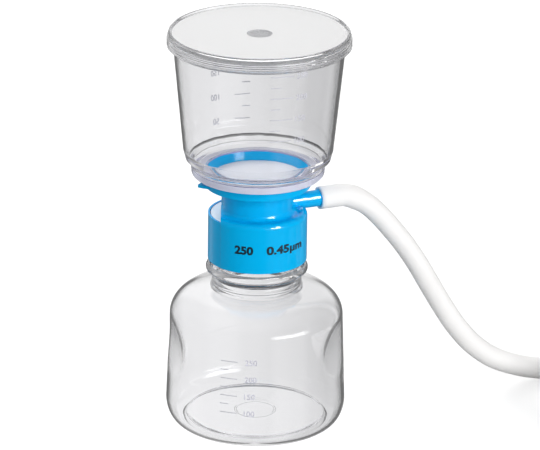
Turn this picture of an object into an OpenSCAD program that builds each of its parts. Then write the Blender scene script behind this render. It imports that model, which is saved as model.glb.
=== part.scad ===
// Bench vacuum filtration unit: a clear funnel with its lid, welded to a blue filter
// base that screws onto a clear receiver bottle, with a silicone vacuum hose.
// Millimetres. The origin is the centre of the bottle's foot, +Z is up and -Y is the front.

/* [Bottle] */
// Outer radius of the body above the foot
bottle_r = 45.2; // [40:0.1:60]
// How much narrower the body is under the shoulder
bottle_taper = 1.6; // [0.5:0.1:3]
// Wall thickness of the body
bottle_wall = 1.6; // [1.2:0.1:2.4]
// Height at which the body turns into the shoulder
shoulder_z = 56; // [50:0.5:90]
// Height of the domed shoulder
shoulder_rise = 15.8; // [12:0.1:22]
// Radial run of the rounded bottom corner
corner_run = 7.7; // [5:0.1:12]
// Height of the rounded bottom corner
corner_h = 12; // [6:0.1:15]
// Depth of the push-up under the foot
push_up = 2.3; // [1:0.1:4]
// Width of the ring that the bottle stands on
foot_w = 1.3; // [1:0.1:3]
// Depth of each scooped grip at its middle
grip_depth = 2.4; // [0.8:0.1:3]
// Height of each scooped grip
grip_h = 28; // [20:0.5:34]
// Height of the middle of the grips
grip_z = 44; // [30:0.5:50]
// How far the grips turn from the sides towards the front, in degrees
grip_turn = 17; // [0:0.5:40]
// How far the bottle is turned on its foot, in degrees
bottle_turn = 2.5; // [0:0.5:180]

/* [Bottle neck] */
// Outer radius of the neck, without its thread
neck_r = 21.9; // [20:0.1:26]
// Wall thickness of the neck
neck_wall = 2.2; // [1.6:0.1:2.8]
// Height of the neck from the shoulder to its mouth
neck_h = 36.6; // [32:0.1:44]
// How far the support bead stands out from the neck
bead_out = 3.7; // [2:0.1:5]
// Height of the support bead
bead_h = 4; // [3:0.1:5]
// Height of the bare neck under the support bead
bead_lift = 8.2; // [6:0.1:12]

/* [Mouth gasket] */
// Thickness of the gasket
gasket_h = 2; // [1:0.1:3]
// Gap all round the gasket
gasket_gap = 0.4; // [0.2:0.05:0.8]

/* [Filter base] */
// Room for the screw thread between the neck and the collar
thread_room = 1.8; // [1.4:0.1:2.4]
// Wall thickness of the collar
collar_wall = 1.3; // [1:0.1:1.8]
// Gap between the collar and the support bead
collar_gap = 2.9; // [1:0.1:4]
// Step from the side of the collar that has the window to the rest
collar_step = 0.3; // [0.1:0.05:0.6]
// Thickness of the deck that closes the collar
deck_h = 1.9; // [1.4:0.1:2.6]
// Gap between the hollow core and the inside of the neck
core_gap = 1.7; // [0.6:0.1:3]
// Wall thickness of the core
core_wall = 1.6; // [1.2:0.1:2.2]
// Length of the core that plugs the mouth of the bottle
plug_h = 5; // [3:0.5:9]
// Height of the core between the deck and the dish
core_h = 13.4; // [12:0.1:20]
// Outer radius of the dish
dish_r = 26.5; // [25:0.1:34]
// Height of the dish
dish_h = 8.3; // [6:0.1:10]
// Thickness of the dish's floor
dish_floor = 2; // [1.2:0.1:3]
// Thickness of the dish's wall, inside which the membrane lies
dish_wall = 2.8; // [2:0.1:4]
// Width of the ledge under the edge of the membrane
ledge_w = 1.6; // [1:0.1:3]
// Inner radius of the drip tube
drip_r = 2.9; // [2.5:0.1:4]
// Length of the drip tube under the dish's floor
drip_h = 26; // [20:1:30]
// How far the lift tab reaches past the dish
tab_out = 4.4; // [2:0.1:8]
// Direction of the lift tab, in degrees
tab_turn = 197; // [120:1:240]

/* [Hose barb] */
// Outer radius of the barb's stem
barb_r = 4.2; // [3.5:0.05:4.5]
// Radius of the barb's bore
barb_bore_r = 2.3; // [2.1:0.05:2.6]
// Distance from the axis of the unit to the tip of the barb
barb_reach = 44.5; // [40:0.5:46]
// Height of the barb's axis above the collar's shoulder
barb_lift = 1.3; // [0:0.1:6]
// Direction of the barb, in degrees
barb_turn = 23; // [0:0.1:60]
// Number of gripping rings on the barb
barb_rings = 3; // [2:1:4]

/* [Support disc] */
// Height of the support disc under the membrane
support_h = 1.9; // [1:0.1:3]
// Number of its radial ribs
rib_count = 16; // [8:2:24]
// Width of its ribs and rings
rib_w = 0.9; // [0.7:0.1:1.2]

/* [Membrane] */
// Thickness of the membrane
membrane_h = 0.3; // [0.2:0.05:0.5]

/* [Funnel] */
// Outer radius under the lid
funnel_top_r = 42.6; // [40:0.1:60]
// How far the lower end of the straight wall stands out from the dish
funnel_out = 10.9; // [8:0.1:16]
// Height from the dish's rim to the lower end of the straight wall
funnel_low_h = 10.6; // [8:0.1:16]
// Height from the dish's rim to the brim
funnel_h = 68.8; // [50:0.1:100]
// Wall thickness
funnel_wall = 1.7; // [1.3:0.1:2.3]
// How far the brim stands out from the wall
brim_out = 1.4; // [1:0.1:2]
// Height of the brim
brim_h = 4; // [3:0.1:6]

/* [Lid] */
// Wall and disc thickness
lid_wall = 1.4; // [1.1:0.1:2]
// Depth of the skirt under the disc
skirt_h = 4.9; // [3:0.1:7]
// Height of the raised rim above the disc
lid_rim_h = 1.5; // [1:0.1:3]
// Radius of the dimple in the middle of the disc
dimple_r = 6.3; // [4:0.1:9]
// Depth of the dimple
dimple_depth = 0.7; // [0.4:0.1:1]
// Gap between the skirt and the brim
lid_gap = 0.4; // [0.2:0.05:0.8]

/* [Vacuum hose] */
// Outside diameter of the hose
hose_d = 11; // [10.5:0.1:11.5]

/* [Hidden] */
$fn = 96;

// Parts that seal or rest on each other are this far apart
seal_gap = 0.05;
eps = 0.01;
far = 200;

// Heights, from the foot up
bead_z = shoulder_z + shoulder_rise + bead_lift;
mouth_z = shoulder_z + shoulder_rise + neck_h;
gasket_z = mouth_z + seal_gap;
deck_z = gasket_z + gasket_h + seal_gap;
shoulder_top_z = deck_z + deck_h;
collar_z = bead_z + bead_h + collar_gap;
dish_z = shoulder_top_z + core_h;
seat_z = dish_z + dish_floor + support_h;
dish_top_z = dish_z + dish_h;
brim_z = dish_top_z + funnel_h;

// Radii that follow from what they fit
bottle_top_r = bottle_r - bottle_taper;
foot_r = bottle_r - corner_run;
neck_in = neck_r - neck_wall;
collar_in = neck_r + thread_room;
collar_r = collar_in + collar_wall;
core_r = neck_in - core_gap;
seat_r = dish_r - dish_wall;
funnel_low_r = dish_r + funnel_out;
brim_r = funnel_top_r + brim_out;
skirt_in = brim_r + lid_gap;
funnel_floor_z = dish_top_z + seal_gap;

// The flat that cuts the window just misses the core
window_x = core_r + 0.2;

// Centre line of the hose from the stem of the barb to its coil
route = [
    [30.65, 13, 113.7], [36, 15.3, 113.7], [41, 17.4, 113.7], [44.5, 18.8, 113.2],
    [48, 20.2, 111.8], [52, 21.7, 109.5], [56.5, 23.4, 105.9], [61, 25.1, 101.1],
    [67, 27.2, 93.6], [74.5, 29.9, 83.3], [81.5, 32.3, 72], [88, 34.6, 60],
    [95, 37, 47.3], [102.5, 39.6, 35], [111.5, 42.6, 23.8], [122.5, 46.3, 14.8],
    [136, 50, 9], [150, 52.8, 6.2], [166, 54.6, 5.5], [184, 55, 5.5], [213, 55, 5.5]
];
coil_centre = [213, -5];
coil_r = 60;
coil_turns = 2;
tie_h = 0.8;
tie_w = 8;
tie_turn = 35;

// Points along an ellipse, or a squarer curve where power is above 2
function bend(centre, radii, from, to, steps = 10, power = 2) = [
    for (i = [0:steps])
        let (a = from + (to - from) * i / steps, c = cos(a), s = sin(a))
        [
            centre.x + radii.x * sign(c) * pow(abs(c), 2 / power),
            centre.y + radii.y * sign(s) * pow(abs(s), 2 / power)
        ]
];

// ---------------------------------------------------------------- bottle

// Half section of the bottle from the middle of its foot to the neck, set in by the wall
function bottle_curve(wall, neck) = concat(
    [
        [0, push_up + 0.8 + wall],
        [foot_r - foot_w - 1, push_up + wall],
        [foot_r - foot_w, wall]
    ],
    bend([foot_r, corner_h], [corner_run - wall, corner_h - wall], -90, 0),
    bend(
        [neck, shoulder_z], [bottle_top_r - wall - neck, shoulder_rise - wall],
        0, 90, 18, 2.15
    )
);

// Section of the prism that scoops out a grip: the part of a wide circle, let in by the
// wall, that reaches into the body
function grip_cut(wall) =
    let (
        radius = (grip_h * grip_h / 4 + grip_depth * grip_depth) / (2 * grip_depth),
        deepest = bottle_r - bottle_taper * grip_z / shoulder_z - grip_depth
    )
    bend(
        [deepest + radius, grip_z], [radius + wall, radius + wall], 150, 210, 20
    );

module grips(wall) {
    for (turn = [-grip_turn, 180 + grip_turn])
        rotate([0, 0, turn - bottle_turn])
            rotate([90, 0, 0])
                linear_extrude(height = bottle_r, center = true)
                    polygon(grip_cut(wall));
}

module bottle() {
    color([0.90, 0.92, 0.94, 0.35])
        difference() {
            union() {
                difference() {
                    rotate_extrude()
                        polygon(concat(
                            bottle_curve(0, neck_r), [[neck_r, mouth_z], [0, mouth_z]]
                        ));
                    grips(0);
                }
                support_bead();
            }
            difference() {
                rotate_extrude()
                    polygon(concat(
                        bottle_curve(bottle_wall, neck_in),
                        [[neck_in, mouth_z + 1], [0, mouth_z + 1]]
                    ));
                grips(bottle_wall);
            }
        }
}

module support_bead() {
    rotate_extrude()
        polygon(concat(
            [[neck_r - 0.5, bead_z]],
            bend(
                [neck_r + bead_out - bead_h / 2, bead_z + bead_h / 2],
                [bead_h / 2, bead_h / 2], -90, 90
            ),
            [[neck_r - 0.5, bead_z + bead_h]]
        ));
}

// ---------------------------------------------------------------- gasket and membrane

module mouth_gasket() {
    color([0.86, 0.88, 0.93])
        translate([0, 0, gasket_z])
            difference() {
                cylinder(r = collar_in - gasket_gap, h = gasket_h);
                translate([0, 0, -1])
                    cylinder(r = core_r + gasket_gap, h = gasket_h + 2);
            }
}

module membrane() {
    color([0.88, 0.88, 0.94])
        translate([0, 0, seat_z])
            cylinder(r = seat_r - 0.1, h = membrane_h);
}

// An open wheel that holds the membrane clear of the dish's floor, so that the whole
// of it drains. Every second rib stops at the middle ring.
module support_disc() {
    outer_r = seat_r - ledge_w - 0.1;
    hub_r = drip_r + 2;
    middle_r = (outer_r + hub_r) / 2;
    height = support_h - 2 * seal_gap;
    color([0.95, 0.96, 0.98])
        translate([0, 0, dish_z + dish_floor + seal_gap]) {
            for (r = [outer_r, middle_r, hub_r])
                difference() {
                    cylinder(r = r, h = height);
                    translate([0, 0, -1])
                        cylinder(r = r - rib_w, h = height + 2);
                }
            for (i = [0:rib_count - 1])
                let (from = (i % 2 == 0 ? hub_r : middle_r) - rib_w / 2)
                rotate([0, 0, 360 * i / rib_count])
                    translate([from, -rib_w / 2, 0])
                        cube([outer_r - rib_w / 2 - from, rib_w, height]);
        }
}

// ---------------------------------------------------------------- filter base

module filter_base() {
    color([0, 0.68, 0.94])
        difference() {
            union() {
                core_and_dish();
                collar();
                drip_tube();
                barb();
                lift_tab();
            }
            barb_bore();
            drain_hole();
            neck_socket();
        }
}

// Room for the gasket and the bottle's neck around the plug, under the deck
module neck_socket() {
    difference() {
        translate([0, 0, collar_z - 1])
            cylinder(r = collar_in, h = deck_z - collar_z + 1);
        translate([0, 0, collar_z - 2])
            cylinder(r = core_r, h = deck_z - collar_z + 4);
    }
}

// The hollow core flares into the dish: a floor, a seat and a sloping rim
module core_and_dish() {
    flare = 2.2;
    plug_z = gasket_z - plug_h;
    outside = concat(
        [[core_r - 0.6, plug_z], [core_r, plug_z + 1.6]],
        bend([core_r + flare, dish_z - flare], [flare, flare], 180, 90, 6),
        [[dish_r, dish_z], [dish_r, dish_top_z], [dish_r - 0.8, dish_top_z]]
    );
    inside = [
        [seat_r + 0.6, seat_z + membrane_h + 0.4],
        [seat_r, seat_z + membrane_h],
        [seat_r, seat_z],
        [seat_r - ledge_w, seat_z],
        [seat_r - ledge_w, dish_z + dish_floor],
        [0, dish_z + dish_floor - 0.4],
        [0, dish_z - 0.4],
        [core_r - core_wall - 1.5, dish_z - 0.4],
        [core_r - core_wall, dish_z - 2],
        [core_r - core_wall, plug_z]
    ];
    rotate_extrude()
        polygon(concat(outside, inside));
}

// The collar and its shoulder, and the thin wall that is left beside the window
module collar() {
    round_out = 2.8;
    round_in = 2.6;
    // The wall beside the window stands this far above the gasket
    window_rim = 0.2;
    shoulder = concat(
        [[collar_in - eps, collar_z], [collar_r, collar_z]],
        bend(
            [collar_r - round_out, shoulder_top_z - round_out],
            [round_out, round_out], 0, 90, 10
        ),
        bend(
            [core_r + round_in, shoulder_top_z + round_in], [round_in, round_in],
            270, 180, 10
        ),
        [[core_r - core_wall / 2, shoulder_top_z + round_in]],
        [[core_r - core_wall / 2, deck_z], [collar_in - eps, deck_z]]
    );
    intersection() {
        rotate_extrude()
            polygon(shoulder);
        translate([-window_x, -far / 2, 0])
            cube([far, far, far]);
    }
    intersection() {
        translate([0, 0, collar_z])
            difference() {
                cylinder(r = collar_r - collar_step, h = deck_z + window_rim - collar_z);
                translate([0, 0, -1])
                    cylinder(r = collar_in - eps, h = far);
            }
        translate([-far - window_x + 0.5, -far / 2, 0])
            cube([far, far, far]);
    }
}

module drip_tube() {
    wall = 1.3;
    difference() {
        translate([0, 0, dish_z - drip_h])
            cylinder(r = drip_r + wall, h = drip_h);
        translate([0, 0, dish_z - drip_h])
            rotate([0, 35, 0])
                translate([-far / 2, -far / 2, -far])
                    cube([far, far, far]);
    }
}

module drain_hole() {
    translate([0, 0, dish_z - drip_h - 1])
        cylinder(r = drip_r, h = drip_h + dish_floor + 1.2);
}

module barb() {
    grip_gap = 3.6;
    stem = norm([route[0].x, route[0].y]) + 1;
    along_barb()
        union() {
            translate([0, 0, core_r - core_wall / 2])
                cylinder(r = barb_r, h = stem - core_r + core_wall / 2);
            translate([0, 0, stem - 1])
                cylinder(r = barb_r - 0.6, h = barb_reach - stem + 1);
            for (i = [0:barb_rings - 1])
                translate([0, 0, barb_reach - 3 - i * grip_gap])
                    cylinder(r1 = barb_r + 0.2, r2 = barb_r - 0.7, h = 3);
        }
}

module barb_bore() {
    along_barb()
        translate([0, 0, core_r - core_wall - 1])
            cylinder(r = barb_bore_r, h = barb_reach);
}

// Puts +Z along the barb
module along_barb() {
    translate([0, 0, shoulder_top_z + barb_lift])
        rotate([0, 90, barb_turn])
            children();
}

// A thin tongue at the edge of the dish, on the window's side
module lift_tab() {
    tab_h = 1.3;
    tab_z = dish_z + 0.8;
    root_w = 9;
    tip_w = 1.4;
    rotate([0, 0, tab_turn])
        translate([0, 0, tab_z])
            linear_extrude(height = tab_h)
                polygon([
                    [dish_r - 3, -root_w / 2],
                    [dish_r, -root_w / 2],
                    [dish_r + tab_out, -tip_w / 2],
                    [dish_r + tab_out, tip_w / 2],
                    [dish_r, root_w / 2],
                    [dish_r - 3, root_w / 2]
                ]);
}

// ---------------------------------------------------------------- funnel and lid

module funnel() {
    socket_r = dish_r + seal_gap;
    throat_r = dish_r - 1.1;
    foot_z = dish_top_z - 2.6;
    low_z = dish_top_z + funnel_low_h;
    waist = [funnel_low_r - 3.9, dish_top_z + 2.5];
    crease = [funnel_low_r - 1.7, dish_top_z + 6.1];
    // The foot is a little narrower than the waist, and its outer edge is rounded
    foot_step = 0.3;
    foot_round = [1.6, 1.8];
    outside = concat(
        [[socket_r, foot_z]],
        bend(
            [waist.x - foot_step - foot_round.x, foot_z + foot_round.y], foot_round,
            -90, 0, 8
        ),
        [
            waist,
            crease,
            [funnel_low_r, low_z],
            [funnel_top_r, brim_z - brim_h - 1.2],
            [brim_r, brim_z - brim_h],
            [brim_r, brim_z - 0.5],
            [brim_r - 0.5, brim_z]
        ]
    );
    inside = [
        [funnel_top_r - funnel_wall + 0.4, brim_z],
        [funnel_top_r - funnel_wall, brim_z - 0.5],
        [funnel_low_r - funnel_wall, low_z],
        [crease.x - funnel_wall - 0.1, crease.y + 0.3],
        [waist.x - funnel_wall + 0.4, waist.y + 1.3],
        [waist.x - 3.5, funnel_floor_z + 1],
        [throat_r, funnel_floor_z + 0.9],
        [throat_r, funnel_floor_z],
        [socket_r, funnel_floor_z]
    ];
    color([0.92, 0.92, 0.95, 0.35])
        rotate_extrude()
            polygon(concat(outside, inside));
}

module lid() {
    disc_z = brim_z + seal_gap;
    disc_top_z = disc_z + lid_wall;
    rim_z = disc_top_z + lid_rim_h;
    skirt_z = disc_z - skirt_h;
    skirt_r = skirt_in + lid_wall;
    section = [
        [0, disc_z],
        [skirt_in - 0.4, disc_z],
        [skirt_in, disc_z - 0.4],
        [skirt_in, skirt_z],
        [skirt_r, skirt_z],
        [skirt_r, skirt_z + 3],
        [skirt_r - 0.9, rim_z - 0.4],
        [skirt_r - 1.3, rim_z],
        [skirt_r - 2, rim_z],
        [skirt_r - 2.6, disc_top_z],
        [0, disc_top_z]
    ];
    dimple_draft = 0.4;
    color([0.93, 0.94, 0.95, 0.4])
        difference() {
            rotate_extrude()
                polygon(section);
            translate([0, 0, disc_top_z - dimple_depth])
                cylinder(
                    r1 = dimple_r - dimple_draft, r2 = dimple_r, h = dimple_depth + eps
                );
        }
}

// ---------------------------------------------------------------- hose

function unit(v) = v / norm(v);

// Direction of the hose at each point of its route
function heading(points, i) =
    i == 0 ? unit(points[1] - points[0])
    : i == len(points) - 1 ? unit(points[i] - points[i - 1])
    : unit(unit(points[i + 1] - points[i]) + unit(points[i] - points[i - 1]));

// A ring of points across the hose, its first point level with the centre line
function across(centre, along, radius, sides) =
    let (side = unit(cross([0, 0, 1], along)), up = cross(along, side))
    [
        for (k = [0:sides - 1])
            centre + radius * (side * cos(360 * k / sides) + up * sin(360 * k / sides))
    ];

module hose_run() {
    sides = 12;
    count = len(route);
    points = [
        for (i = [0:count - 1])
            each across(route[i], heading(route, i), hose_d / 2, sides)
    ];
    skin = [
        for (i = [0:count - 2], k = [0:sides - 1])
            let (next = (k + 1) % sides)
            [
                i * sides + k, (i + 1) * sides + k,
                (i + 1) * sides + next, i * sides + next
            ]
    ];
    first_cap = [for (k = [0:sides - 1]) k];
    last_cap = [for (k = [sides - 1:-1:0]) (count - 1) * sides + k];
    color([0.94, 0.95, 0.95])
        polyhedron(points, concat([first_cap], skin, [last_cap]));
}

// Turns of hose stacked on each other, as one ring
module hose_coil() {
    height = coil_turns * hose_d;
    color([0.94, 0.95, 0.95])
        translate([coil_centre.x, coil_centre.y, 0])
            rotate_extrude()
                translate([coil_r, 0])
                    union() {
                        for (z = [hose_d / 2, height - hose_d / 2])
                            translate([0, z])
                                circle(d = hose_d, $fn = 32);
                        translate([-hose_d / 2, hose_d / 2])
                            square([hose_d, height - hose_d]);
                    }
}

// A flat strap around the stack of turns, which pinches the soft hose at the bottom
module hose_tie() {
    slack = 0.05;
    inner = [hose_d + 2 * slack, coil_turns * hose_d + slack - tie_h];
    outer = inner + [2 * tie_h, 2 * tie_h];
    color([0.25, 0.27, 0.30])
        translate([coil_centre.x, coil_centre.y, 0])
            rotate([0, 0, tie_turn])
                translate([coil_r, tie_w / 2, 0])
                    rotate([90, 0, 0])
                        linear_extrude(height = tie_w)
                            difference() {
                                translate([-outer.x / 2, 0])
                                    square(outer);
                                translate([-inner.x / 2, tie_h])
                                    square(inner);
                            }
}

bottle();
mouth_gasket();
filter_base();
support_disc();
membrane();
funnel();
lid();
hose_run();
hose_coil();
hose_tie();
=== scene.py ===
# %% [markdown]
# # A bench vacuum filtration unit
#
# A clear funnel with a loose lid sits welded on a blue filter base. The base screws onto
# a clear receiver bottle, and a silicone hose on its barb draws the air out of the bottle.
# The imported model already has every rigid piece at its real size. This script gives the
# pieces their finishes, turns the three clear ones afresh with all their small rounded edges,
# and adds what is too fine for the model: the screw threads, the raised scales, the printed
# number and the soft hose.

import math

import bmesh
import bpy
import numpy as np
from mathutils import Matrix, Vector


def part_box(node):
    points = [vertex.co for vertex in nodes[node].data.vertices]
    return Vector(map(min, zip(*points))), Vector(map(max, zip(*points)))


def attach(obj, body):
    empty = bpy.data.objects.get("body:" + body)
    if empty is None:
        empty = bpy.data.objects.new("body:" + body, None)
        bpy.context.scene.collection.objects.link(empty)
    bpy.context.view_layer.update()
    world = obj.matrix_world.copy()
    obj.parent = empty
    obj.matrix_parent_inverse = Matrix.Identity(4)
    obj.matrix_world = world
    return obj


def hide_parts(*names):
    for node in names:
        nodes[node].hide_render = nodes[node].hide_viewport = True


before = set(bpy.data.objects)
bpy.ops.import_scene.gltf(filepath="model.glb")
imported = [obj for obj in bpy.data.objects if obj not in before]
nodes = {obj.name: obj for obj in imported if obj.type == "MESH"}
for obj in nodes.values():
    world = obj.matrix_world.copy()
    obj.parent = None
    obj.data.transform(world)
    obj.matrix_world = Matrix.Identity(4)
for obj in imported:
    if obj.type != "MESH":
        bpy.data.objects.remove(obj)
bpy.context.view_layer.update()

# %% [markdown]
# ## Sizes
#
# Everything below is in metres, in the same frame as the model: the origin is the centre of
# the bottle's foot, +Z is up and -Y is the front. Small details are easier to think of in
# millimetres, so one value turns them into metres. The sizes that decide how the pieces meet
# are read from the boxes of the model's own nodes, to a hundredth of a millimetre.

# %% Read the sizes that the details hang on
MM = 0.001


def box_corners(node):
    """Lowest and highest corner of a node of the model, in millimetres."""
    return [[round(v / MM, 2) for v in corner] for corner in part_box(node)]


body_r, _, mouth_z = box_corners("bottle")[1]
rim_z = box_corners("filter_base")[1][2]
foot_z = box_corners("funnel")[0][2]
brim_r, _, brim_z = box_corners("funnel")[1]
print("mouth of the bottle at", mouth_z, "mm, rim of the dish at", rim_z, "mm")
print("foot of the funnel at", foot_z, "mm, brim at", brim_z, "mm")

# %% [markdown]
# ## Camera
#
# Laboratory glassware is best shown by a long lens from a little above, so that upright
# walls stay upright. The camera stands a little over two metres away and is rolled by under
# a degree, as a camera on a tripod often is.

# %% Place the camera
camera_data = bpy.data.cameras.new("camera")
camera = bpy.data.objects.new("camera", camera_data)
bpy.context.scene.collection.objects.link(camera)
bpy.context.scene.camera = camera

camera_data.sensor_width = 36
camera_data.lens = 294.8
camera_data.clip_start = 0.1
camera_data.clip_end = 20

stand = Vector((6.35, -2068, 885)) * MM
aim = Vector((6.35, 0, 103.7)) * MM
camera.location = stand
roll = Matrix.Rotation(math.radians(0.76), 4, "Z").to_quaternion()
camera.rotation_mode = "QUATERNION"
camera.rotation_quaternion = (aim - stand).to_track_quat("-Z", "Y") @ roll
down = math.degrees(math.asin((stand - aim).normalized().z))
print("camera looks down by", round(down, 1), "degrees")

# %% [markdown]
# ## Helpers for meshes and materials
#
# Colours are written as sRGB hex, as a paint chart gives them, and one function turns them
# into the linear values that shaders work in. One function adds any node with its settings
# and its links, so that a material reads as a short list of nodes.

# %% Write the helpers
def linear(text):
    """Linear RGBA of an sRGB hex colour."""
    parts = [int(text[i : i + 2], 16) / 255 for i in (1, 3, 5)]
    return [c / 12.92 if c <= 0.04045 else ((c + 0.055) / 1.055) ** 2.4 for c in parts] + [1.0]


def add(tree, kind, inputs=None, **settings):
    """A new node, with its settings, and its inputs set to values or linked to sockets."""
    node = tree.nodes.new(kind)
    for name, value in settings.items():
        setattr(node, name, value)
    for name, value in (inputs or {}).items():
        if isinstance(value, bpy.types.NodeSocket):
            tree.links.new(value, node.inputs[name])
        else:
            node.inputs[name].default_value = value
    return node


def new_material(name):
    """An empty material and its node tree."""
    material = bpy.data.materials.new(name)
    material.use_nodes = True
    material.node_tree.nodes.clear()
    return material, material.node_tree


def new_piece(name, points, faces, smooth=True):
    """An object at the origin from points in metres and faces."""
    mesh = bpy.data.meshes.new(name)
    mesh.from_pydata([tuple(p) for p in points], [], [tuple(f) for f in faces])
    mesh.update()
    if smooth:
        mesh.shade_smooth()
    piece = bpy.data.objects.new(name, mesh)
    bpy.context.scene.collection.objects.link(piece)
    return piece


def show(piece, material):
    """Gives a piece one material."""
    piece.data.materials.clear()
    piece.data.materials.append(material)
    return piece


# %% [markdown]
# ## The hose
#
# The hose is a soft silicone tube, 11 mm outside and 7.5 mm inside. It leaves the barb
# level, sags under its own weight, runs along the bench and lies there in a small coil. A
# soft tube is one smooth line with a round section carried along it, so the route comes
# first: a few points for the free stretch, then the turns of the coil worked out as a rule.
# The second turn climbs onto the first one just before it would meet the start of it.

# %% Lay out the centre line of the hose
hose_d, hose_bore = 11 * MM, 7.5 * MM
# height of the hose's centre where it lies on the bench
lying_z = 5.5
coil_x, coil_y, coil_r = 213.0, -5.0, 60.0
free_run = [
    (30.65, 13, 113.7), (36, 15.3, 113.7), (41, 17.4, 113.7), (44.5, 18.8, 113.2),
    (48, 20.2, 111.8), (52, 21.7, 109.5), (56.5, 23.4, 105.9), (61, 25.1, 101.1),
    (67, 27.2, 93.6), (74.5, 29.9, 83.3), (81.5, 32.3, 72), (88, 34.6, 60),
    (95, 37, 47.3), (102.5, 39.6, 35), (111.5, 42.6, 23.8), (122.5, 46.3, 14.8),
    (136, 50, 9), (150, 52.8, 6.2), (166, 54.6, 5.5), (184, 55, 5.5), (213, 55, 5.5),
]
# the coil in degrees: where it climbs onto its first turn, where it ends, and its steps
climb_from, climb_to, coil_end = 250.0, 288.0, 645.0
coil_start, coil_step = 8.0, 7.0


def coil_point(turned):
    """Centre of the hose after so many degrees of the coil, clockwise from its start."""
    share = min(max((turned - climb_from) / (climb_to - climb_from), 0), 1)
    height = lying_z + 2 * lying_z * share * share * (3 - 2 * share)
    angle = math.radians(90 - turned)
    return (coil_x + coil_r * math.cos(angle), coil_y + coil_r * math.sin(angle), height)


def smooth_line(points, step):
    """Points about a step apart on a curve that runs through all the given ones."""
    ends = [2 * points[0] - points[1], *points, 2 * points[-1] - points[-2]]
    line = []
    for a, b, c, d in zip(ends, ends[1:], ends[2:], ends[3:]):
        pieces = max(1, round(np.linalg.norm(c - b) / step))
        bend, twist = 2 * a - 5 * b + 4 * c - d, 3 * b - a - 3 * c + d
        for t in np.arange(pieces) / pieces:
            line.append(0.5 * (2 * b + (c - a) * t + bend * t**2 + twist * t**3))
    return np.array([*line, points[-1]])


coil = [coil_point(turned) for turned in np.arange(coil_start, coil_end + 0.1, coil_step)]
route = [np.array(place) for place in free_run + coil]
hose_line = smooth_line(route, 2.0) * MM

# %% [markdown]
# A tube with a real wall needs an outer and an inner skin that meet in a flat ring at each
# cut end. Each ring of points is turned as little as possible from the one before, so the
# skin never twists. Over the barb the rubber is stretched by its three rings, and past its
# tip, where the hose bends most, the rubber bulges a little.

# %% Sweep the hose along its line
def frames_along(line):
    """Forward, side and up directions at each point, turned as little as possible."""
    forward = np.gradient(line, axis=0)
    forward /= np.linalg.norm(forward, axis=1)[:, None]
    side = np.cross((0, 0, 1), forward[0])
    side /= np.linalg.norm(side)
    sides = [side]
    for f in forward[1:]:
        side = sides[-1] - f * (sides[-1] @ f)
        sides.append(side / np.linalg.norm(side))
    sides = np.array(sides)
    return forward, sides, np.cross(forward, sides)


# places along the hose, in millimetres from its end on the barb
barb_rings, barb_tip, bulge_at = (1.4, 5.0, 8.6), 12.5, 19.0


def hose_radii(walked):
    """Outer and inner radius, in metres, after a length of the hose."""
    swell = sum(math.exp(-(((walked / MM - at) / 1.1) ** 2)) for at in barb_rings)
    on_barb = 0.5 - 0.5 * math.tanh((walked / MM - barb_tip) / 1.5)
    bulge = math.exp(-(((walked / MM - bulge_at) / 5) ** 2))
    outer = hose_d / 2 + (0.2 * on_barb + 0.12 * swell + 0.45 * bulge) * MM
    return outer, hose_bore / 2 + (0.45 * on_barb + 0.2 * swell + 0.3 * bulge) * MM


def sweep_tube(name, line, radii, sides=40):
    """A hollow tube along a line, open at both ends. Its UV map runs in metres."""
    _, side, up = frames_along(line)
    walked = np.concatenate([[0], np.cumsum(np.linalg.norm(np.diff(line, axis=0), axis=1))])
    angles = np.arange(sides) * 2 * math.pi / sides
    cosine, sine = np.cos(angles)[None, :, None], np.sin(angles)[None, :, None]
    ring = cosine * side[:, None] + sine * up[:, None]
    skins = []
    for which in (0, 1):
        r = np.array([radii(w)[which] for w in walked])[:, None, None]
        skins.append(line[:, None] + r * ring)
    count = len(line)
    points = np.concatenate([s.reshape(-1, 3) for s in skins])
    inner = count * sides
    faces = []
    for i in range(count - 1):
        for k in range(sides):
            n = (k + 1) % sides
            a, b, c, d = i * sides + k, i * sides + n, (i + 1) * sides + n, (i + 1) * sides + k
            faces += [(a, b, c, d), (inner + d, inner + c, inner + b, inner + a)]
    last = (count - 1) * sides
    for k in range(sides):
        n = (k + 1) % sides
        faces.append((n, k, inner + k, inner + n))
        faces.append((last + k, last + n, inner + last + n, inner + last + k))
    tube = new_piece(name, points, faces)
    layer = tube.data.uv_layers.new(name="along")
    place = np.zeros((len(points), 2))
    place[:, 0] = np.tile(np.tile(angles, count), 2) * hose_d / 2
    place[:, 1] = np.tile(np.repeat(walked, sides), 2)
    corners = np.array([loop.vertex_index for loop in tube.data.loops])
    uv = place[corners]
    # a face that closes the ring runs on past the last angle instead of back to zero
    start = 0
    for polygon in tube.data.polygons:
        size = polygon.loop_total
        part = uv[start : start + size, 0]
        if part.max() - part.min() > math.pi * hose_d / 2:
            part[part < math.pi * hose_d / 2] += math.pi * hose_d
        start += size
    layer.data.foreach_set("uv", uv.astype(np.float32).ravel())
    return tube


hose = sweep_tube("vacuum_hose", hose_line, hose_radii)
print("hose has", len(hose.data.polygons), "faces")

# %% [markdown]
# ## Finish: extruded silicone
#
# Peroxide-cured silicone comes out of the extruder milky white and slightly matt, with very
# fine lines along its length from the die. Light soaks a little way into it, which softens
# its shading. The lines follow the tube, so this pattern reads the tube's own UV map.

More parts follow.
